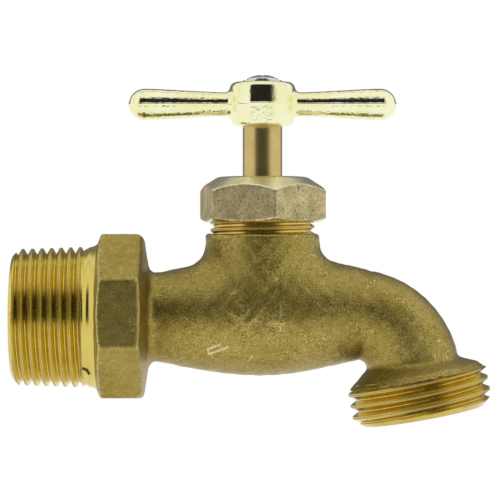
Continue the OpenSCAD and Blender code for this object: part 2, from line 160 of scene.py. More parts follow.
def net(field, low, high, step, settle=3):
    """Points, quads and normals of the surface on which a field is zero"""
    least_slope, longest_move, relaxing = 0.25, 0.7, 0.6
    axes = [np.arange(a, b + step, step) for a, b in zip(low, high)]
    x, y, z = np.meshgrid(*axes, indexing="ij", sparse=True)
    value = np.broadcast_to(field(x, y, z), [len(a) for a in axes])
    inside = value < 0
    corners = [(i, j, k) for i in (0, 1) for j in (0, 1) for k in (0, 1)]
    n = [len(a) - 1 for a in axes]
    count = sum(inside[i:i + n[0], j:j + n[1], k:k + n[2]].astype(np.int8) for i, j, k in corners)
    mixed = (count > 0) & (count < 8)
    cells = np.argwhere(mixed)
    number = np.full(mixed.shape, -1, np.int32)
    number[mixed] = np.arange(len(cells))
    at = [value[tuple((cells + c).T)] for c in corners]
    total = np.zeros((len(cells), 3))
    hits = np.zeros(len(cells))
    for a in range(8):
        for b in range(a + 1, 8):
            way = np.subtract(corners[b], corners[a])
            if abs(way).sum() != 1:
                continue
            cut = (at[a] < 0) != (at[b] < 0)
            share = np.where(cut, at[a] / np.where(cut, at[a] - at[b], 1), 0)
            total += np.where(cut, 1, 0)[:, None] * (np.array(corners[a]) + share[:, None] * way)
            hits += cut
    points = np.array(low) + step * (cells + total / hits[:, None])
    quads = []
    for axis in range(3):
        u, v = (axis + 1) % 3, (axis + 2) % 3
        first = [slice(None)] * 3
        second = [slice(None)] * 3
        first[axis], second[axis] = slice(None, -1), slice(1, None)
        edge = inside[tuple(first)] != inside[tuple(second)]
        for side in (u, v):
            keep = [slice(None)] * 3
            keep[side] = [0, -1]
            edge[tuple(keep)] = False
        spots = np.argwhere(edge)
        out = inside[tuple(first)][tuple(spots.T)]
        ring = []
        for du, dv in ((-1, -1), (0, -1), (0, 0), (-1, 0)):
            move = spots.copy()
            move[:, u] += du
            move[:, v] += dv
            ring.append(number[tuple(move.T)])
        ring = np.array(ring).T
        ring[~out] = ring[~out][:, ::-1]
        quads.append(ring)
    quads = np.concatenate(quads)

    def slope(p, reach=0.02):
        rise = [field(*(p + way).T) - field(*(p - way).T) for way in reach * np.eye(3)]
        return np.array(rise).T / (2 * reach)

    def onto(p):
        g = slope(p)
        size = np.maximum((g * g).sum(1), least_slope)
        move = -(field(*p.T) / size)[:, None] * g
        length = np.linalg.norm(move, axis=1, keepdims=True)
        return p + move * np.minimum(1, longest_move * step / np.maximum(length, TINY)), g

    pairs = np.concatenate([quads[:, [k, (k + 1) % 4]] for k in range(4)])
    degree = np.bincount(pairs[:, 0], minlength=len(points)).astype(float)
    for _ in range(settle):
        points, g = onto(points)
        g = unit(g)
        mean = np.stack([
            np.bincount(pairs[:, 0], points[pairs[:, 1], k], len(points)) for k in range(3)], 1)
        drift = mean / degree[:, None] - points
        points = points + relaxing * (drift - g * (drift * g).sum(1, keepdims=True))
    points, _ = onto(points)
    points, _ = onto(points)
    return points, quads, unit(slope(points))


# ---- meshes

def to_object(name, points, faces, finish, normals=None, marks=None):
    """A mesh object from points in millimetres"""
    mesh = bpy.data.meshes.new(name)
    mesh.from_pydata((np.asarray(points) * MM).tolist(), [], np.asarray(faces).tolist())
    mesh.validate()
    mesh.update()
    mesh.shade_smooth()
    for title, values in (marks or {}).items():
        mark = mesh.attributes.new(title, "FLOAT", "POINT")
        mark.data.foreach_set("value", np.asarray(values, np.float32))
    if normals is not None:
        mesh.normals_split_custom_set_from_vertices(np.asarray(normals).tolist())
    mesh.materials.append(finish)
    piece = bpy.data.objects.new(name, mesh)
    bpy.context.scene.collection.objects.link(piece)
    return piece


def seated(piece, body, slot, *nodes):
    """Puts a piece on its body and hides the frame nodes it stands for. The slot argument is not used."""
    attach(piece, body)
    if nodes:
        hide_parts(*nodes)
    return piece


def welded(piece, sharp=35):
    """Merges the spots where rows of a sleeve run together and marks its sharp edges"""
    shape = bmesh.new()
    shape.from_mesh(piece.data)
    bmesh.ops.remove_doubles(shape, verts=shape.verts, dist=0.004 * MM)
    bmesh.ops.dissolve_degenerate(shape, edges=shape.edges, dist=0.002 * MM)
    bmesh.ops.recalc_face_normals(shape, faces=shape.faces)
    shape.to_mesh(piece.data)
    shape.free()
    piece.data.shade_smooth()
    piece.data.set_sharp_from_angle(angle=math.radians(sharp))
    return piece


def sleeve(length, pitch, cuts, surface, bore, sides=128):
    """Points and quads of a threaded sleeve along +Z. surface gives the radius
    at a height and a place across the pitch; bore lists (height, radius) pairs
    down the inside, from the top face to the bottom one."""
    turns = int(math.ceil(length / pitch)) + 1
    heads = np.array([(t + c) * pitch for t in range(-1, turns) for c in cuts])
    lift = len(cuts)
    rows = len(heads)
    angle = 2 * np.pi * np.arange(sides) / sides
    shift = pitch * np.arange(sides) / sides
    height = np.clip(heads[None, :] + shift[:, None], 0, length)
    place = ((height - shift[:, None]) / pitch) % 1.0
    radius = surface(height, place)
    inner = np.array(bore, float)
    height = np.hstack([height, np.broadcast_to(inner[:, 0], (sides, len(bore)))])
    radius = np.hstack([radius, np.broadcast_to(inner[:, 1], (sides, len(bore)))])
    points = np.stack([radius * np.cos(angle)[:, None], radius * np.sin(angle)[:, None], height], 2)
    total = rows + len(bore)
    row = np.arange(total)
    following = (row + 1) % total
    wrap = np.where(row < rows, np.minimum(row + lift, rows - 1), row)
    quads = []
    for j in range(sides):
        k = (j + 1) % sides
        here, there = row, (wrap if k == 0 else row)
        quads.append(np.stack([
            j * total + here, k * total + there, k * total + there[following], j * total + following], 1))
    return points.reshape(-1, 3), np.concatenate(quads)


def vee(place, root, crest):
    """Height of a thread across its pitch, from 0 on the root's flat to 1 on its rounded crest"""
    off = abs(2 * place - 1)
    flank = np.clip((1 - off - root) / (1 - root - crest), 0, 1)
    return 0.98 * flank + 0.02 * np.clip(1 - (off / crest) ** 2, 0, 1)


def vee_cuts(root, crest, steps=3):
    """Places across the pitch that fall on the thread's corners"""
    rise = np.linspace(root / 2, 0.5 - crest / 2, steps + 2)
    return sorted([*rise, 0.5, *(1 - rise)])


def crests(surface, points):
    """How near each point of a threaded sleeve is to the top of its thread"""
    height = points[:, 2]
    radius = np.hypot(points[:, 0], points[:, 1])
    top, root = surface(height, 0.5), surface(height, 0.0)
    least_depth, start, blend = 0.6, 0.982, 0.014
    return np.clip(((radius - root) / np.maximum(top - root, least_depth) - start) / blend, 0, 1)


def ring_quads(rings, n):
    """Quads between rings of n points each, the last ring meeting the first"""
    return [(j * n + i, (j + 1) % rings * n + i, (j + 1) % rings * n + (i + 1) % n, j * n + (i + 1) % n)
            for j in range(rings) for i in range(n)]


def turned(profile, sides=96):
    """Points and quads of a revolved outline of (radius, height) pairs"""
    angle = 2 * np.pi * np.arange(sides) / sides
    points = [(r * math.cos(a), r * math.sin(a), z) for a in angle for r, z in profile]
    n = len(profile)
    return np.array(points), np.array(ring_quads(sides, n))


def eased(profile, size, steps=3):
    """An outline with its corners rounded by a small arc"""
    result = []
    n = len(profile)
    for i, here in enumerate(profile):
        here = np.array(here, float)
        before = np.array(profile[i - 1], float) - here
        after = np.array(profile[(i + 1) % n], float) - here
        reach = min(size, 0.4 * np.linalg.norm(before), 0.4 * np.linalg.norm(after))
        a = here + before / np.linalg.norm(before) * reach
        b = here + after / np.linalg.norm(after) * reach
        for t in np.linspace(0, 1, steps):
            result.append(tuple((1 - t) ** 2 * a + 2 * t * (1 - t) * here + t * t * b))
    return result


def placed(points, centre, across, along):
    """Points of a solid built along +Z, moved to a centre with given X and Z directions"""
    along = np.array(along, float)
    across = np.array(across, float)
    side = np.cross(along, across)
    return np.array(centre) + points @ np.array([across, side, along])


# ---- finishes

class Wire:
    """A node's socket, for use in plain arithmetic"""

    def __init__(self, bench, socket):
        self.bench, self.socket = bench, socket

    def _math(self, operation, *values):
        return self.bench.node("ShaderNodeMath", {"operation": operation}, *values)

    def __add__(self, other): return self._math("ADD", self, other)
    def __radd__(self, other): return self._math("ADD", other, self)
    def __sub__(self, other): return self._math("SUBTRACT", self, other)
    def __rsub__(self, other): return self._math("SUBTRACT", other, self)
    def __mul__(self, other): return self._math("MULTIPLY", self, other)
    def __rmul__(self, other): return self._math("MULTIPLY", other, self)
    def __pow__(self, other): return self._math("POWER", self, other)
    def __abs__(self): return self._math("ABSOLUTE", self)

    def ramp(self, low, high):
        """0 below low, 1 above high and smooth between"""
        smooth = {"interpolation_type": "SMOOTHSTEP"}
        return self.bench.node("ShaderNodeMapRange", smooth, self, low, high, 0.0, 1.0)

    def at_least(self, other): return self._math("MAXIMUM", self, other)
    def at_most(self, other): return self._math("MINIMUM", self, other)
    def angle(self, other): return self._math("ARCTAN2", self, other)


class Bench:
    """Builds one node tree"""

    def __init__(self, tree):
        self.tree = tree
        tree.nodes.clear()

    def node(self, kind, settings=None, *values, out=0, **named):
        made = self.tree.nodes.new(kind)
        for key, value in (settings or {}).items():
            setattr(made, key, value)
        enabled = [s for s in made.inputs if s.enabled]
        for socket, value in [*zip(enabled, values), *((made.inputs[k], v) for k, v in named.items())]:
            if isinstance(value, Wire):
                self.tree.links.new(value.socket, socket)
            elif socket.type == "RGBA" and len(value) == 3:
                socket.default_value = (*value, 1)
            else:
                socket.default_value = value
        if isinstance(out, str):
            return Wire(self, made.outputs[out])
        return Wire(self, [s for s in made.outputs if s.enabled][out])

    def mix(self, share, a, b):
        """Colour a turning into colour b"""
        return self.node("ShaderNodeMix", {"data_type": "RGBA"}, share, a, b)

    def times(self, vector, factor):
        return self.node("ShaderNodeVectorMath", {"operation": "MULTIPLY"}, vector, factor)

    def noise(self, vector, scale, detail=2.0, roughness=0.5, distortion=0.0):
        return self.node("ShaderNodeTexNoise", None, Vector=vector, Scale=scale, Detail=detail,
                         Roughness=roughness, Distortion=distortion)

    def bump(self, height, distance, strength=1.0):
        return self.node("ShaderNodeBump", None, Strength=strength, Distance=distance, Height=height)

    def split(self, vector, names="XYZ"):
        """The parts of a vector, as numbers"""
        made = self.node("ShaderNodeSeparateXYZ", None, vector).socket.node
        return [Wire(self, made.outputs[k]) for k in names]


class Finish(Bench):
    """A material of one metal, rubber or packing"""

    def __init__(self, name):
        self.material = bpy.data.materials.new(name)
        self.material.use_nodes = True
        super().__init__(self.material.node_tree)
        place = self.node("ShaderNodeTexCoord", None, out="Object")
        self.spot = self.times(place, (1 / MM,) * 3)

    def cells(self, scale, out="Distance"):
        return self.node("ShaderNodeTexVoronoi", {"feature": "F1"}, Vector=self.spot, Scale=scale, out=out)

    def mark(self, name):
        """A value that the mesh carries at each of its points"""
        return self.node("ShaderNodeAttribute", {"attribute_name": name}, out="Fac")

    def done(self, colour, metallic, roughness, normal):
        values = {"Base Color": colour, "Metallic": metallic, "Roughness": roughness, "Normal": normal}
        return self.end(self.node("ShaderNodeBsdfPrincipled", None, **values))

    def end(self, skin):
        output = self.tree.nodes.new("ShaderNodeOutputMaterial")
        self.tree.links.new(skin.socket, output.inputs["Surface"])
        return self.material


def stroke(bench, a, b, width):
    """Mask of a straight scratch on the near side, from a to b in X and Z"""
    x, y, z = bench.split(bench.spot)
    way = (b[0] - a[0], b[1] - a[1])
    length = math.hypot(*way)
    ux, uz = way[0] / length, way[1] / length
    along = (x - a[0]) * ux + (z - a[1]) * uz
    across = abs((x - a[0]) * -uz + (z - a[1]) * ux)
    beyond = abs(along - length / 2) - length / 2
    gap = across.at_least(beyond)
    near = (0 - y).ramp(0.0, 1.0)
    return (1 - gap.ramp(width * 0.4, width)) * near


# start, end and width of the casting's placed scratches, in X and Z
SCRATCHES = [
    ((37.5, -5.85), (39.8, -4.95), 0.26), ((37.8, -6.8), (41.3, -5.4), 0.26),
    ((37.5, -5.85), (37.8, -6.8), 0.2), ((45.2, -8.0), (46.0, -7.2), 0.12),
    ((57.0, 12.1), (57.9, 11.7), 0.12),
]
# the bent nick on the band beside the pipe thread: a dent whose colour is painted near-black as painted
# shade
SHADED_NICK = [((14.15, -9.5), (14.7, -9.75), 0.4), ((14.7, -9.75), (15.05, -10.35), 0.4)]


def scaled(colour, *factors):
    """A colour with each channel times its factor, no brighter than 1"""
    return tuple(min(1, c * s) for c, s in zip(colour, factors * (3 // len(factors))))


def cast_brass(colours):
    """Tumbled sand-cast brass: dull olive gold, grainy, rubbed bright on its edges"""
    f = Finish("cast_brass")
    broad = f.noise(f.spot, 0.11, 3.0, 0.55)
    cloud = f.noise(f.spot, 0.9, 3.0, 0.55)
    grain = f.noise(f.spot, 2.9, 3.0, 0.65)
    fine = f.noise(f.spot, 8.0, 2.0, 0.6)
    facet = f.cells(4.0)
    lottery = f.node("ShaderNodeSeparateColor", None, f.cells(3.5, "Color"), out="Red")
    dent = f.cells(0.85)
    wear = f.mark("wear")
    hollow = f.mark("hollow")
    along = f.split(f.spot, "X")[0]
    round_part = along.ramp(WRENCH_END, THROAT_X + 2)
    patch = f.noise(f.spot, 0.23, 2.0, 0.5).ramp(0.42, 0.62)
    rugged = 0.7 + round_part * (0.7 + patch * 0.9)
    speckle = (grain - 0.5) * rugged + (fine - 0.5) * rugged * 0.5
    shade = (speckle + (cloud - 0.5) * 0.5 + (broad - 0.5) * 0.5).ramp(-0.4, 0.4)
    colour = f.mix(shade, colours.cast_dark[:], colours.cast_light[:])
    fleck = lottery.ramp(0.925, 0.965) * grain.ramp(0.45, 0.6)
    fleck = fleck * (0.3 + patch * 0.7) * (0.5 + round_part * 0.5)
    rubbed = (wear * (grain * 2.6 + fine * 2.2 - 1.65)).ramp(0.4, 0.9)
    scratched = reduce(Wire.at_least, [stroke(f, *scratch) for scratch in SCRATCHES])
    broken = scratched * fine.ramp(0.32, 0.42)
    bright = fleck.at_least(rubbed * 0.75).at_least(broken)
    colour = f.mix(bright, colour, colours.cast_bare[:])
    pit = 1 - dent.ramp(0.05, 0.2)
    pitted = pit * f.noise(f.spot, 0.4, 1.0).ramp(0.5, 0.6)
    speck = (1 - fine.ramp(0.34, 0.44)) * (0.2 + round_part * (0.2 + patch * 0.4))
    # Pits and dark specks darken the casting, and its concave corners get painted shade towards the dull
    # tone.
    pits_and_corner_shade = (pitted * 0.7).at_least(hollow * 0.2).at_least(speck)
    colour = f.mix(pits_and_corner_shade, colour, scaled(colours.cast_dark, 0.45))
    rough = 0.34 - round_part * 0.07 + grain * 0.14 - bright * 0.08 + pits_and_corner_shade * 0.16
    height = (grain * 1.1 + fine * 0.3) * (0.55 + round_part * 0.55) + facet * 0.3 + cloud * 0.25
    height = height - pitted * 1.1 - broken * 0.5
    normal = f.bump(height, 0.085 * MM, 1.0)
    return f.done(colour, 1.0, rough, normal)


def cut_brass(name, tone, roughness=0.2, streak=(1.0, 1.0, 1.0), depth=0.012, metal=1.0):
    """Machined brass with fine tool marks"""
    f = Finish(name)
    lines = f.noise(f.times(f.spot, streak), 2.4, 3.0, 0.7)
    shaded_nick = reduce(Wire.at_least, [stroke(f, *part) for part in SHADED_NICK])
    crest = f.mark("crest")
    blot = f.noise(f.spot, 0.35, 3.0, 0.5)
    speck = f.noise(f.spot, 5.0, 2.0, 0.6)
    warm = scaled(tone, 0.97, 0.86, 0.62)
    colour = f.mix((blot * 0.8 + lines * 0.4 - 0.1).ramp(0.35, 0.75), tone, warm)
    colour = f.mix(crest * 0.95, colour, (0.44, 0.32, 0.12))
    # The nick is dented in, and its colour is painted near-black as painted shade of the groove's end.
    colour = f.mix(shaded_nick * 0.95, colour, scaled(tone, 0.03))
    rough = roughness + lines * 0.06 + speck.ramp(0.55, 0.7) * 0.10 + crest * 0.3 + shaded_nick * 0.3
    normal = f.bump(lines * 0.8 + speck * 0.35 - shaded_nick * 4, depth * MM, 0.6)
    return f.done(colour, metal, rough, normal)


def nut_brass(colours):
    """Blasted pale brass with small dark pits"""
    f = Finish("nut_brass")
    grain = f.noise(f.spot, 4.2, 3.0, 0.65)
    cloud = f.noise(f.spot, 0.3, 3.0, 0.5)
    hole = f.cells(1.5)
    wear = f.mark("wear")
    smooth = f.mark("smooth")
    zone = f.noise(f.spot, 0.22, 2.0, 0.5).ramp(0.42, 0.6)
    pit = (1 - hole.ramp(0.20, 0.40)) * grain.ramp(0.42, 0.6) * (0.5 + zone * 0.5) * (1 - smooth)
    dark = scaled(colours.nut_brass, 0.55, 0.55, 0.44)
    light = scaled(colours.nut_brass, 1.34, 1.30, 1.26)
    colour = f.mix((grain * 1.1 + cloud * 0.8 - 0.6).ramp(0.1, 0.7), dark, light)
    colour = f.mix((smooth * 0.85).at_least(wear * 0.12), colour, (0.92, 0.85, 0.60))
    colour = f.mix(pit * 0.9, colour, (0.13, 0.12, 0.06))
    rough = 0.40 + grain * 0.16 - smooth * 0.22 + pit * 0.1
    normal = f.bump((grain * 0.7 + cloud * 0.6) * (1 - smooth * 0.93) - pit * 1.3, 0.07 * MM, 0.8)
    return f.done(colour, 1.0, rough, normal)


def plating(colours):
    """Bright gold-toned plating over die casting"""
    f = Finish("plated_handle")
    wave = f.noise(f.spot, 0.22, 2.0, 0.45)
    ripple = f.noise(f.times(f.spot, (0.35, 1.0, 1.0)), 0.9, 2.0, 0.5)
    speck = f.noise(f.spot, 5.5, 2.0, 0.6).ramp(0.66, 0.74)
    deep = scaled(colours.plating, 0.95, 0.95, 0.80)
    colour = f.mix(wave.ramp(0.35, 0.65), colours.plating[:], deep)
    colour = f.mix(speck * 0.25, colour, (0.55, 0.50, 0.30))
    peel = f.noise(f.spot, 2.1, 2.0, 0.5)
    dent = f.noise(f.times(f.spot, (0.8, 1.0, 1.0)), 1.25, 1.0, 0.4)
    x, z = f.split(f.spot, "XZ")
    arms = abs(x - STEM_X).ramp(6.5, 9.0)
    foot = (ARM_Z - z).ramp(0.0, 1.5)
    rough = 0.055 + speck * 0.15 + ripple * 0.03
    height = wave * 0.5 + ripple * 0.3 + peel * (0.35 + foot * 0.35) + dent * arms * 0.85 + speck * 0.03
    return f.done(colour, 1.0, rough, f.bump(height, 0.10 * MM, 0.8))


def plain_metal(name, tone, roughness):
    """Plated or turned metal of the small parts"""
    f = Finish(name)
    grain = f.noise(f.spot, 4.0, 3.0, 0.6)
    colour = f.mix(grain.ramp(0.3, 0.7), tone, scaled(tone, 0.8))
    return f.done(colour, 1.0, roughness + grain * 0.1, f.bump(grain, 0.015 * MM, 0.5))


def soft_seal(name, tone, weave):
    """Rubber, or braided graphite packing where weave is set"""
    f = Finish(name)
    grain = f.noise(f.spot, 2.2, 4.0, 0.6)
    bands = {"wave_type": "BANDS", "bands_direction": "DIAGONAL"}
    strands = f.node("ShaderNodeTexWave", bands, Vector=f.spot, Scale=weave, Distortion=1.5)
    colour = f.mix((grain * 0.6 + strands * 0.4).ramp(0.25, 0.75), tone, scaled(tone, 2.2))
    return f.done(colour, 0.0, 0.55 + grain * 0.2, f.bump(strands * 0.8 + grain * 0.5, 0.05 * MM, 0.6))


# ---- the casting

INLET_THREAD_END = 13.4
WRENCH_X = 16.2
WRENCH_END = 25.0
WRENCH_HALF = 15.6
WRENCH_TURN = math.radians(3.4)
BAND_R = 13.5
BAND_MIDDLE = 15.05
THROAT_X = 27.5
THROAT_R = 8.4
GLOBE_R = 11.15
SPOUT_R = 8.5
WALL = 2.6
NECK_R = 10.85
NECK_Z = 16.0
BEND_R = 12.1
BEND_X, BEND_Z = STEM_X + 17.3, -11.5
TILT = math.radians(10.4)
BEND_START = math.radians(12.5)
HOSE_THREAD = 7.4
SHOULDER = 2.36
SHOULDER_R = 13.3
WRENCH_BEVEL_R, WRENCH_BEVEL_RISE, WRENCH_DRAFT = 13.95, 2.7, 0.16
DIAGONAL = 0.70711
NECK_FILLET, NECK_FILLET_GROWTH = 0.6, 3.6
WATERWAY_R = THROAT_R - WALL
CHAMBER_R = 8.55
PORT_R, PORT_Z = 3.95, 3.55
SEAT_HOLE_R = 3.8
OUT_AXIS = np.array([math.sin(TILT), 0, -math.cos(TILT)])
OUT_ACROSS = np.array([math.cos(TILT), 0, math.sin(TILT)])


def on_bend(tilt):
    return np.array([BEND_X + BEND_R * math.sin(tilt), BEND_Z + BEND_R * math.cos(tilt)])


BEND_END = math.pi / 2 - TILT
OUT_CENTRE = on_bend(BEND_END) + (HOSE_THREAD + SHOULDER) * np.array([math.sin(TILT), -math.cos(TILT)])
OUT_CENTRE = np.array([OUT_CENTRE[0], 0, OUT_CENTRE[1]])


def spine():
    """Stations of the casting's flow: x, z and radius"""
    stations = [(WRENCH_END - 3, 0, THROAT_R), (THROAT_X - 0.6, 0, THROAT_R)]
    for u in np.linspace(0, 1, 17)[1:]:
        swell = (GLOBE_R - THROAT_R) * math.sin(u * math.pi / 2)
        stations.append((THROAT_X + u * (STEM_X - THROAT_X), 0, THROAT_R + swell))
    end = on_bend(BEND_START)
    run = end[0] - STEM_X
    for u in np.linspace(0, 1, 17)[1:]:
        drop = end[1] * u * u * (3 - 2 * u) + 0.6 * run * math.tan(BEND_START) * u * u * (1 - u)
        stations.append((STEM_X + u * run, drop, GLOBE_R - (GLOBE_R - SPOUT_R) * u ** 1.8))
    for tilt in np.linspace(BEND_START, BEND_END, 19)[1:]:
        stations.append((*on_bend(tilt), SPOUT_R))
    stations.append((*(on_bend(BEND_END) + 2.2 * OUT_AXIS[[0, 2]]), SPOUT_R))
    return np.array(stations)


SPINE = spine()


def nearest(x, z, stations):
    """Squared distance in the X-Z plane to a line of stations, and its radius there"""
    best = radius = None
    for (ax, az, ar), (bx, bz, br) in zip(stations[:-1], stations[1:]):
        dx, dz = bx - ax, bz - az
        t = np.clip(((x - ax) * dx + (z - az) * dz) / (dx * dx + dz * dz), 0, 1)
        gap = (x - ax - t * dx) ** 2 + (z - az - t * dz) ** 2
        r = ar + (br - ar) * t
        if best is None:
            best, radius = gap, r
        else:
            closer = gap < best
            best, radius = np.where(closer, gap, best), np.where(closer, r, radius)
    return best, radius


def outlet_place(x, z):
    """Distance beyond the outlet's axis and height above its end face"""
    dx, dz = x - OUT_CENTRE[0], z - OUT_CENTRE[2]
    return dx * OUT_ACROSS[0] + dz * OUT_ACROSS[2], -(dx * OUT_AXIS[0] + dz * OUT_AXIS[2])


NUMERALS = [
    # strokes of the cast size numerals, as points in X and Z
    [(42.3, 4.3), (42.9, 4.8), (44.0, 4.75), (44.55, 4.1), (44.1, 3.25), (43.2, 2.95)],
    [(43.2, 2.95), (44.3, 2.7), (44.9, 1.85), (44.4, 0.85), (43.3, 0.5), (42.3, 1.05)],
    [(50.1, 5.2), (44.4, -2.0)],
    [(50.9, -2.0), (50.9, 2.7), (48.8, -0.6), (51.6, -0.6)],
]


STROKE_R = 0.34


def numerals(x, y, z):
    """Field of the cast strokes on the near side"""
    gap = None
    for line in NUMERALS:
        found, _ = nearest(x, z, np.array([(a, b, 0) for a, b in line]))
        gap = found if gap is None else np.minimum(gap, found)
    return np.maximum(np.sqrt(gap) - STROKE_R, y + 2)


def casting_field(sizes):
    """Field of the cast body, with its waterways"""

    def wander(x, y, z):
        return sizes.unevenness * (
            np.sin(0.83 * x + 1.7 * np.sin(0.31 * z)) * np.sin(0.71 * y + 0.4) * np.sin(0.67 * z + 1.1)
            + 0.6 * np.sin(1.9 * x + 0.8 * y) * np.sin(1.6 * z - 0.9 * y + 0.5))

    def field(x, y, z):
        across = np.sqrt(y * y + z * z)
        gap, radius = nearest(x, z, SPINE)
        skin = np.sqrt(gap + y * y) - radius
        # neck, with a fillet that dies out at the sides
        neck_x = x - STEM_X
        around = np.sqrt(neck_x * neck_x + y * y)
        side = abs(neck_x) / np.maximum(around, 1e-6)
        rim = NECK_Z - 0.05 + 0.05 * np.sin(0.9 * x + 1.3 * np.sin(0.7 * y))
        neck = soft_cut(soft_cut(around - NECK_R, z - rim, 0.8), -z, 0.5)
        body = soft_union(skin, neck, NECK_FILLET + NECK_FILLET_GROWTH * side)
        # outlet shoulder, flaring from the bend to the thread
        off, up = outlet_place(x, z)
        out = np.sqrt(off * off + y * y)
        ledge = np.interp(up, [7.0, 8.5, 10.0, 11.5], [13.5, 11.9, 8.3, 4.7])
        slope = np.interp(up, [6.8, 10.8, 12.3], [13.5, 8.8, 7.0])
        share = 0.5 + 0.5 * off / np.maximum(out, 1e-6)
        flare = (out - slope + share * (slope - ledge)) / 1.9
        shoulder = soft_cut(soft_cut(flare, out - SHOULDER_R, 0.25), up - HOSE_THREAD - 6, 0.4)
        body = soft_union(body, shoulder, 1.0)
        body = np.maximum(body, np.where((out < 15) & (x > STEM_X + 14), HOSE_THREAD - 0.3 - up, -9))
        # wrench flats, bevelled in front and drafted behind
        wy = abs(y * math.cos(WRENCH_TURN) - z * math.sin(WRENCH_TURN))
        wz = abs(z * math.cos(WRENCH_TURN) + y * math.sin(WRENCH_TURN))
        flats = soft_cut(np.maximum(wy, wz) - WRENCH_HALF, (wy + wz) * DIAGONAL - WRENCH_HALF, 0.32)
        bevel = (across - WRENCH_BEVEL_R - WRENCH_BEVEL_RISE * (x - WRENCH_X)) / 2.88
        back = (x - WRENCH_END - WRENCH_DRAFT * (WRENCH_HALF - across)) / 1.02
        wrench = soft_cut(soft_cut(flats, bevel, 0.35), back, 1.0)
        body = soft_union(body, wrench, 1.9)
        body = np.maximum(body, np.where(x < WRENCH_X + 4, WRENCH_X - x, -9))
        # mould seam, unevenness and size numerals
        outside = np.minimum(1, np.maximum(0, 1 - abs(body) / 3))
        body = body - sizes.seam * np.exp(-(y / 0.45) ** 2) * outside * np.where(x > THROAT_X, 1, 0)
        body = body - wander(x, y, z) * outside * np.where(x > WRENCH_END + 1, 1, 0.45)
        raised = np.clip((0.42 - numerals(x, y, z)) / 0.75, 0, 1)
        body = body - sizes.numeral * raised * raised * (3 - 2 * raised)
        # waterways
        inlet = turned_cut(across, x, [
            (0, 9.9), (17.0, 9.9), (17.3, 9.5), (18, 9.5), (21.7, WATERWAY_R), (STEM_X - 9.6, WATERWAY_R)])
        lower = np.maximum(
            turned_cut(across, x, [
                (STEM_X - 14.8, WATERWAY_R), (STEM_X - 6.5, CHAMBER_R), (STEM_X + 6.5, CHAMBER_R)]),
            np.maximum(np.where(neck_x < 0, abs(y), around) - 6.5, z + 3.4))
        seat_rim = rod(around, z, 5.1, -2.8, -0.5)
        upper = np.maximum(rod(around, z, 7.0, -1.8, 7.6), -seat_rim)
        seat = rod(around, z, SEAT_HOLE_R, -4.4, 3)
        neck_way = turned_cut(around, z, [(6.6, 6.06), (14.9, 6.06), (15.2, 6.5), (30, 6.5)])
        port = rod(np.sqrt(y * y + (z - PORT_Z) ** 2), x, PORT_R, STEM_X, STEM_X + 9)
        cored = np.maximum(np.sqrt(gap + y * y) - (radius - WALL), STEM_X + 7.4 - x)
        mouth = turned_cut(out, up, [(-1, 9.9), (8.0, 9.9), (8.3, 9.4), (11.2, 5.9)])
        holes = reduce(np.minimum, (inlet, lower, upper, seat, neck_way, port, cored, mouth))
        return np.maximum(body, -holes)

    return field


def edges_and_corners(points, normals, field, reach=0.55):
    """How far each point stands on an outer edge, and how deep it lies in a corner"""
    side = unit(np.cross(normals, np.array([0.31, 0.93, 0.2])))
    other = np.cross(normals, side)
    around = [field(*(points + s * reach * way).T) for way in (side, other) for s in (1, -1)]
    curve = sum(around) / (4 * reach)
    return np.clip(curve * 4.5, 0, 1), np.clip(-curve * 4.0, 0, 1)


class HOSEBIB_OT_casting(Operator):
    """Builds the cast body with its wrench flats, globe, neck, spout and waterways"""
    bl_idname = "hosebib.casting"
    bl_label = "Cast body"

    def execute(self, context):
        sizes = context.scene.hosebib_casting
        colours = context.scene.hosebib_finish
        field = casting_field(sizes)
        low = (WRENCH_X - 1.2, -17.2, BODY_LOW[2] - 1)
        high = (BODY_HIGH[0] + 1, 17.2, 17.4)
        points, quads, normals = net(field, low, high, sizes.detail)
        # The edge mark sets rubbed wear, and the corner mark sets painted shade in the casting's corners.
        wear, hollow = edges_and_corners(points, normals, field)
        near = numerals(*points.T)
        wear = wear * np.clip(near - 0.5, 0, 1) + 0.85 * np.exp(-((near + 0.02) / 0.2) ** 2)
        marks = {"wear": wear, "hollow": hollow}
        piece = to_object("casting", points, quads, cast_brass(colours), marks=marks)
        seated(piece, "valve", "cast_brass", "valve_body")
        return {"FINISHED"}


# ---- threads

# share of the pitch that each thread's root and crest take
INLET_VEE, OUTLET_VEE, NECK_VEE, STEM_VEE = (0.07, 0.24), (0.06, 0.24), (0.2, 0.3), (0.2, 0.2)
INLET_BIG, INLET_SMALL = 13.5, 13.05
OUTLET_R = 13.495
NECK_THREAD_R, NECK_THREAD = 10.0, 8.4
STEM_THREAD_R, STEM_THREAD = 6, 6.4
STEM_LEAD_R = 4.9


def inlet_surface(height, place):
    crest = INLET_SMALL + (INLET_BIG - INLET_SMALL) * np.clip(height / INLET_THREAD_END, 0, 1)
    fade = np.clip((INLET_THREAD_END + 1.0 - height) / 1.1, 0, 1)
    depth = 1.12 * fade * fade * (3 - 2 * fade)
    radius = crest - depth * (1 - vee(place, *INLET_VEE))
    end = INLET_SMALL - 1.25 + 1.15 * height
    off = height - BAND_MIDDLE
    band = BAND_R + 0.6 * (off - np.tanh(4.3 * off) / 4.3)
    blend = np.clip((height - INLET_THREAD_END) / 0.8, 0, 1)
    return np.minimum(radius * (1 - blend) + band * blend, end)


def outlet_surface(height, place):
    radius = OUTLET_R - 1.38 * (1 - vee(place, *OUTLET_VEE))
    end = OUTLET_R - 1.9 + 1.2 * height
    return np.minimum(np.where(height > HOSE_THREAD - 0.1, 12.0, radius), end)


def neck_surface(height, place):
    radius = NECK_THREAD_R - 0.65 * (1 - vee(place, *NECK_VEE))
    return np.minimum(radius, NECK_THREAD_R - 0.9 + 1.0 * (NECK_THREAD - height))


def stem_surface(height, place):
    radius = STEM_THREAD_R - 1.15 * (1 - vee(place, *STEM_VEE))
    ends = np.minimum(STEM_LEAD_R + height * 1.2, STEM_LEAD_R + (STEM_THREAD - height) * 1.2)
    return np.minimum(radius, ends)


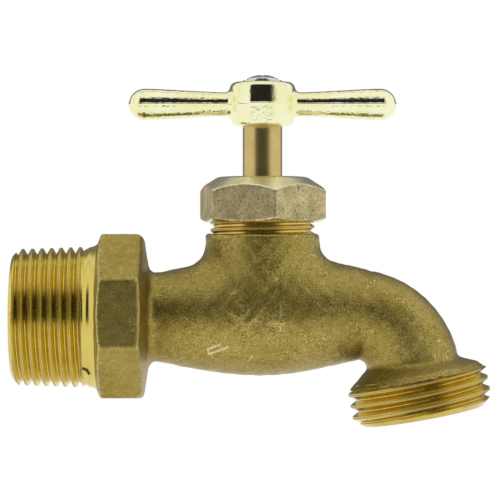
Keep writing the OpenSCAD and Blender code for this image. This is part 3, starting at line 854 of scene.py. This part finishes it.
class HOSEBIB_OT_threads(Operator):
    """Builds the three cut threads of the body"""
    bl_idname = "hosebib.threads"
    bl_label = "Cut threads"

    def execute(self, context):
        sizes = context.scene.hosebib_threads
        colours = context.scene.hosebib_finish
        bright = cut_brass("turned_brass", colours.cut_brass[:], 0.2)
        dull = cut_brass("turned_brass_dull", scaled(colours.cut_brass, 0.94, 0.91, 0.97), 0.2)
        start = 0.7 * OUT_ACROSS + [0, 0.714, 0]
        jobs = [
            ("inlet_thread", sizes.inlet_pitch, vee_cuts(*INLET_VEE), inlet_surface,
             [(17.1, 9.5), (1.0, 9.5), (0.0, 10.1)], (0, 0, 0), (0, 0, -1), (1, 0, 0), bright),
            ("outlet_thread", sizes.outlet_pitch, vee_cuts(*OUTLET_VEE), outlet_surface,
             [(8.1, 9.3), (7.4, 9.5), (0.7, 9.5), (0.0, 9.9)], OUT_CENTRE, start, -OUT_AXIS, dull),
            ("neck_thread", sizes.neck_pitch, vee_cuts(*NECK_VEE, 2), neck_surface,
             [(NECK_THREAD, 7.2), (8.2, 7.0), (2.1, 7.0), (2.1, 6.06), (0.0, 6.06)],
             (STEM_X, 0, 15.2), (1, 0, 0), (0, 0, 1), dull),
        ]
        for name, pitch, cuts, surface, bore, centre, across, along, finish in jobs:
            points, quads = sleeve(bore[0][0], pitch, cuts, surface, bore)
            marks = {"crest": crests(surface, points)}
            piece = to_object(name, placed(points, centre, across, along), quads, finish, marks=marks)
            seated(welded(piece), "valve", "turned_brass", "valve_body")
        return {"FINISHED"}


# ---- nut

NUT_HALF = 11.1
NUT_TURN = math.radians(11 - 90)
NUT_BEVEL_R, NUT_BEVEL_DROP, NUT_BEVEL_RISE = 12.9, 2.8, 1.55
NUT_FOOT_R, NUT_FOOT_RISE = 10.9, 2.6


def nut_field(x, y, z):
    dx = x - STEM_X
    around = np.sqrt(dx * dx + y * y)
    flats = None
    for k in range(6):
        a = NUT_TURN + math.pi / 6 + k * math.pi / 3
        face = dx * math.cos(a) + y * math.sin(a) - NUT_HALF
        flats = face if flats is None else soft_cut(flats, face, 0.3)
    top, bottom = NUT_HIGH[2], NUT_LOW[2]
    dome = (around - NUT_BEVEL_R + (z - (top - NUT_BEVEL_DROP)) * NUT_BEVEL_RISE) / 1.84
    under = (around - NUT_FOOT_R - (z - bottom) * NUT_FOOT_RISE) / 2.79
    body = soft_cut(soft_cut(flats, dome, 0.15), under, 0.15)
    body = soft_cut(soft_cut(body, z - top, 0.35), bottom - z, 0.25)
    bore = turned_cut(around, z, [
        (bottom - 1, 10.5), (bottom + 0.4, 10.06), (24.6, 10.06), (24.62, 7.4),
        (24.85, 7.4), (24.87, 4.1), (top - 0.3, 4.05), (top + 1, 4.9)])
    return np.maximum(body, -bore)


class HOSEBIB_OT_packing_nut(Operator):
    """Builds the hexagon packing nut"""
    bl_idname = "hosebib.packing_nut"
    bl_label = "Packing nut"

    def execute(self, context):
        points, quads, normals = net(nut_field, NUT_LOW - 0.7, NUT_HIGH + 0.7, 0.27)
        wear, _ = edges_and_corners(points, normals, nut_field, 0.4)
        high = NUT_HIGH[2] - 2.9
        outward = np.hypot(points[:, 0] - STEM_X, points[:, 1])
        smooth = np.clip((normals[:, 2] - 0.2) * 4, 0, 1) * (points[:, 2] > high)
        smooth = np.maximum(smooth, (normals[:, 2] < -0.2) * (outward > 10.3))
        finish = nut_brass(context.scene.hosebib_finish)
        piece = to_object("packing_nut_body", points, quads, finish, marks={"wear": wear, "smooth": smooth})
        seated(piece, "valve", "nut_brass", "packing_nut")
        return {"FINISHED"}


# ---- stem

class HOSEBIB_OT_stem(Operator):
    """Builds the turned stem with its thread, foot, washer cup and square"""
    bl_idname = "hosebib.stem"
    bl_label = "Stem"

    def execute(self, context):
        colours = context.scene.hosebib_finish
        cup, square, tall, shaft = STEM_LOW[2], HANDLE_LOW[2] + 1, STEM_HIGH[2], 3.8
        thread_z = 5.1
        profile = eased([
            (1.45, cup + 7.1), (1.45, cup + 1.6), (5.2, cup + 1.6), (5.2, cup), (5.9, cup), (5.9, 3.6),
            (4.4, 4.4), (4.4, thread_z + 0.3), (3.9, thread_z + 0.6), (3.9, thread_z + 5.8),
            (shaft, thread_z + 6.2), (shaft, square - 0.25), (shaft - 0.4, square), (1.9, square),
            (1.9, square - 3)], 0.12)
        points, quads = sleeve(
            STEM_THREAD, context.scene.hosebib_threads.stem_pitch, vee_cuts(*STEM_VEE, 2), stem_surface,
            [(STEM_THREAD, 3.7), (0, 3.7)], 72)
        parts = [turned(profile), (points + [0, 0, thread_z], quads)]
        # the square, with its corners cut and a hole for the screw
        half = 2.65
        cut = half - 0.3
        ring = [(cut, half), (-cut, half), (-half, cut), (-half, -cut),
                (-cut, -half), (cut, -half), (half, -cut), (half, cut)]
        hole = [(1.85 * math.cos(a), 1.85 * math.sin(a)) for a in np.radians(np.arange(67.5, 390, 45))]
        shrunk = [(0.94 * a, 0.94 * b) for a, b in ring]
        low = square - 0.6
        levels = [(ring, low), (ring, tall - 0.3), (shrunk, tall), (hole, tall), (hole, low)]
        block = np.array([(a, b, z) for outline, z in levels for a, b in outline])
        faces = [(a, d, c, b) for a, b, c, d in ring_quads(len(levels), len(ring))]
        parts.append((block, np.array(faces)))
        centre = np.array([STEM_X, 0, 0])
        start, all_points, all_faces = 0, [], []
        for points, quads in parts:
            all_points.append(points + centre)
            all_faces.append(quads + start)
            start += len(points)
        finish = cut_brass("stem_brass", colours.stem_brass[:], 0.27, (0.5, 0.5, 0.5), 0.004, 0.9)
        piece = to_object("stem_body", np.concatenate(all_points), np.concatenate(all_faces), finish)
        seated(welded(piece), "stem_and_handle", "turned_brass", "stem")
        return {"FINISHED"}


# ---- handle

HUB_Z, HUB_TOP = HANDLE_LOW[2], HANDLE_HIGH[2]
ARM_Z = (HUB_Z + HUB_TOP) / 2
REACH = (HANDLE_HIGH[0] - HANDLE_LOW[0]) / 2
HUB_RADII = [5.7, 6.45, 6.2]
HUB_EDGE = 1.15
ARM_PLACES = [0, 6.5, 10, 16, 20, 22.6]
ARM_TIP_R, ARM_TIP_LEN = 3.02, 3.1
ARM_RADII = [2.28, 2.28, 2.4, 2.72, 2.95, ARM_TIP_R]
FLASH, FLASH_WIDTH = 0.10, 0.17


def handle_field(x, y, z):
    dx = abs(x - STEM_X)
    around = np.sqrt((x - STEM_X) ** 2 + y * y)
    # hub: drafted both ways from the parting line, with a domed top edge
    wall = np.interp(z, [HUB_Z, ARM_Z, HUB_TOP], HUB_RADII)
    a, b = around - (wall - HUB_EDGE), z - (HUB_TOP - HUB_EDGE)
    upper = np.minimum(np.maximum(a, b), 0) + np.hypot(np.maximum(a, 0), np.maximum(b, 0)) - HUB_EDGE
    foot = soft_cut(around - wall, HUB_Z - z, 0.9)
    hub = np.where(z > ARM_Z, upper, foot)
    # arms: slim at the root, thick and blunt at the end
    across = np.sqrt(y * y + (z - ARM_Z) ** 2)
    start = REACH - ARM_TIP_LEN
    past = np.maximum(dx - start, 0) / ARM_TIP_LEN * ARM_TIP_R
    straight = across - np.interp(dx, ARM_PLACES, ARM_RADII)
    arm = np.where(dx > start, np.hypot(across, past) - ARM_TIP_R, straight)
    body = soft_union(hub, arm, 1.2) - FLASH * np.exp(-((z - ARM_Z) / FLASH_WIDTH) ** 2)
    hole = rod(around, z, 3.9, HUB_Z - 1, HUB_Z + 1)
    square = np.maximum(np.maximum(dx, abs(y)) - 2.7, HUB_Z - z)
    return np.maximum(np.maximum(body, -hole), -square)


class HOSEBIB_OT_tee_handle(Operator):
    """Builds the plated tee handle with its parting line"""
    bl_idname = "hosebib.tee_handle"
    bl_label = "Tee handle"

    def execute(self, context):
        step = 0.2
        low = np.array([HANDLE_LOW[0] - 0.63, HANDLE_LOW[1] - 0.63, ARM_Z - step * 25])
        points, quads, normals = net(handle_field, low, HANDLE_HIGH + 0.7, step)
        finish = plating(context.scene.hosebib_finish)
        piece = to_object("tee_handle_body", points, quads, finish, normals=normals)
        seated(piece, "stem_and_handle", "plated_handle", "tee_handle")
        return {"FINISHED"}


SCREW_HEAD_R, SCREW_RIM, SCREW_SHANK_R, SCREW_SHANK = 3.05, 0.28, 1.8, 6.8


def screw_field(x, y, z):
    dx = x - STEM_X
    around = np.sqrt(dx * dx + y * y)
    seat = SHIM_HIGH[2]
    top = SCREW_HIGH[2]
    rise = top - seat - SCREW_RIM
    ball = (SCREW_HEAD_R * SCREW_HEAD_R + rise ** 2) / (2 * rise)
    dome = np.sqrt(around * around + (z - (top - ball)) ** 2) - ball
    head = soft_cut(soft_cut(dome, around - SCREW_HEAD_R, 0.16), seat - z, 0.08)
    shank = rod(around, z, SCREW_SHANK_R, seat - SCREW_SHANK, seat + 0.2)
    deep = 0.5 * (top - z)
    slot = np.minimum(np.maximum(abs(dx) - 1.6 + deep, abs(y) - 0.3),
                      np.maximum(abs(y) - 1.6 + deep, abs(dx) - 0.3))
    core = around - 0.75 + 0.3 * (top - z)
    recess = np.maximum(np.minimum(slot, core), top - 0.75 - z)
    return soft_cut(np.minimum(head, shank), -recess, 0.08)


class HOSEBIB_OT_handle_screw(Operator):
    """Builds the domed screw and its washer"""
    bl_idname = "hosebib.handle_screw"
    bl_label = "Handle screw"

    def execute(self, context):
        colours = context.scene.hosebib_finish
        finish = plain_metal("screw_steel", colours.steel[:], 0.16)
        points, quads, normals = net(screw_field, SCREW_LOW - 0.4, SCREW_HIGH + 0.4, 0.12)
        piece = to_object("handle_screw_body", points, quads, finish, normals=normals)
        seated(piece, "stem_and_handle", "screw_steel", "handle_screw")
        low, high = SHIM_LOW[2], SHIM_HIGH[2]
        outer, inner = (SHIM_HIGH[0] - SHIM_LOW[0]) / 2, 1.95
        points, quads = turned(eased([(inner, low), (outer, low), (outer, high), (inner, high)], 0.1))
        piece = to_object("handle_washer", points + [STEM_X, 0, 0], quads, finish)
        seated(welded(piece), "stem_and_handle", "screw_steel", "handle_screw_washer")
        return {"FINISHED"}


# ---- hidden parts

class HOSEBIB_OT_gland(Operator):
    """Finishes the follower, packing, washers and the foot's screw"""
    bl_idname = "hosebib.gland"
    bl_label = "Gland and seat washer"

    def execute(self, context):
        colours = context.scene.hosebib_finish
        brass = cut_brass("gland_brass", colours.stem_brass[:], 0.24, (0.3, 0.3, 2.5))
        graphite = soft_seal("graphite_packing", (0.035, 0.034, 0.033), 1.1)
        rubber = soft_seal("washer_rubber", (0.018, 0.018, 0.018), 0.2)
        finishes = {
            "gland_follower": brass, "packing_washer": brass, "seat_washer_screw": brass,
            "packing_ring_upper": graphite, "packing_ring_lower": graphite, "seat_washer": rubber,
        }
        for node, finish in finishes.items():
            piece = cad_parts[node]
            piece.data.materials.clear()
            piece.data.materials.append(finish)
            edge = piece.modifiers.new("Eased edges", "BEVEL")
            edge.width = 0.08 * MM
            edge.segments = 2
            edge.limit_method = "ANGLE"
        return {"FINISHED"}


# ---- stage

FLOOR_GLOW = 0.41
CAMERA_X, CAMERA_Z, LENS = 0.0455, 0.0129, 177.8


class HOSEBIB_OT_stage(Operator):
    """Sets the floor, the light tent and the camera"""
    bl_idname = "hosebib.stage"
    bl_label = "Stage"

    def execute(self, context):
        scene = context.scene
        sizes, colours = scene.hosebib_stage, scene.hosebib_finish
        scene.view_settings.view_transform = "Standard"
        floor_mesh = bpy.data.meshes.new("floor")
        side, front, back = 1.2, -0.36, 3.0
        corners = [(-side, front, 0), (side, front, 0), (side, back, 0), (-side, back, 0)]
        floor_mesh.from_pydata(corners, [], [(0, 1, 2, 3)])
        floor = bpy.data.objects.new("floor", floor_mesh)
        scene.collection.objects.link(floor)
        floor.location = (0, 0, sizes.floor_height)
        f = Finish("floor_paper")
        fibre = f.noise(f.spot, 0.05, 3.0)
        tint = f.mix(fibre, colours.floor[:], scaled(colours.floor, 0.99))
        paper = f.node("ShaderNodeBsdfDiffuse", None, Color=tint)
        rays = f.node("ShaderNodeLightPath").socket.node.outputs
        kinds = ("Is Camera Ray", "Is Glossy Ray", "Is Transmission Ray")
        seen, glossy, clear = (Wire(f, rays[kind]) for kind in kinds)
        strength = (seen + glossy + clear).at_most(1.0) * FLOOR_GLOW
        glow = f.node("ShaderNodeEmission", None, Color=(1, 1, 1), Strength=strength)
        floor_mesh.materials.append(f.end(f.node("ShaderNodeAddShader", None, paper, glow)))

        world = bpy.data.worlds.new("light_tent")
        scene.world = world
        world.use_nodes = True
        tent = Bench(world.node_tree)
        way = tent.node("ShaderNodeTexCoord", None, out="Generated")
        x, y, z = tent.split(way)
        flat = (x * x + y * y).at_least(1e-6) ** 0.5
        turn = x.angle(0 - y)
        lift = z.angle(flat)
        # a black card in front, a dark wall behind and a grey gap overhead, which
        # show in reflections and not to the camera
        card = turn.ramp(-0.84, -0.72) * (1 - turn.ramp(0.48, 0.95)) * lift.ramp(-0.27, -0.08)
        card = card * (1 - lift.ramp(0.66, 1.04)) * 0.98
        far = y.ramp(0.55, 0.72) * z.ramp(-0.02, 0.05) * 0.8
        gap = (1 - abs(z.angle(0 - y) - 1.85).ramp(0.02, 0.07)) * 0.5
        white = 1 - card.at_least(far).at_least(gap)
        camera_ray = tent.node("ShaderNodeLightPath", None, out="Is Camera Ray")
        strength = white.at_least(camera_ray) * sizes.tent
        light = tent.node("ShaderNodeBackground", None, Color=(1, 1, 1), Strength=strength)
        output = tent.tree.nodes.new("ShaderNodeOutputWorld")
        tent.tree.links.new(light.socket, output.inputs["Surface"])

        camera = bpy.data.cameras.new("camera")
        camera.sensor_width = 36
        camera.lens = LENS
        camera.clip_start, camera.clip_end = 0.01, 20
        eye = bpy.data.objects.new("camera", camera)
        scene.collection.objects.link(eye)
        eye.location = (CAMERA_X, -sizes.camera_distance, CAMERA_Z)
        eye.rotation_euler = (math.radians(90), 0, 0)
        scene.camera = eye
        return {"FINISHED"}


# ---- add-on

class HOSEBIB_PT_panel(Panel):
    """Lists the steps that build the hose bib"""
    bl_label = "Hose bib"
    bl_idname = "HOSEBIB_PT_panel"
    bl_space_type = "VIEW_3D"
    bl_region_type = "UI"
    bl_category = "Hose bib"

    def draw(self, context):
        for step in STEPS:
            self.layout.operator(step.bl_idname)
        for name in GROUPS:
            box = self.layout.box()
            group = getattr(context.scene, name)
            for prop in group.bl_rna.properties:
                if prop.identifier not in ("rna_type", "name"):
                    box.prop(group, prop.identifier)


STEPS = [
    HOSEBIB_OT_stage, HOSEBIB_OT_casting, HOSEBIB_OT_threads, HOSEBIB_OT_packing_nut, HOSEBIB_OT_stem,
    HOSEBIB_OT_tee_handle, HOSEBIB_OT_handle_screw, HOSEBIB_OT_gland,
]
GROUPS = {
    "hosebib_casting": CastingSizes, "hosebib_threads": ThreadSizes,
    "hosebib_finish": FinishColours, "hosebib_stage": StageSizes,
}


def register():
    for group in GROUPS.values():
        bpy.utils.register_class(group)
    for name, group in GROUPS.items():
        setattr(bpy.types.Scene, name, PointerProperty(type=group))
    for step in STEPS:
        bpy.utils.register_class(step)
    bpy.utils.register_class(HOSEBIB_PT_panel)


def unregister():
    bpy.utils.unregister_class(HOSEBIB_PT_panel)
    for step in reversed(STEPS):
        bpy.utils.unregister_class(step)
    for name, group in GROUPS.items():
        delattr(bpy.types.Scene, name)
        bpy.utils.unregister_class(group)


def main():
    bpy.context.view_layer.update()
    register()
    for step in STEPS:
        group, _, name = step.bl_idname.partition(".")
        if getattr(getattr(bpy.ops, group), name)() != {"FINISHED"}:
            raise RuntimeError(f"{step.bl_label} didn't finish")


if __name__ == "__main__":
    main()
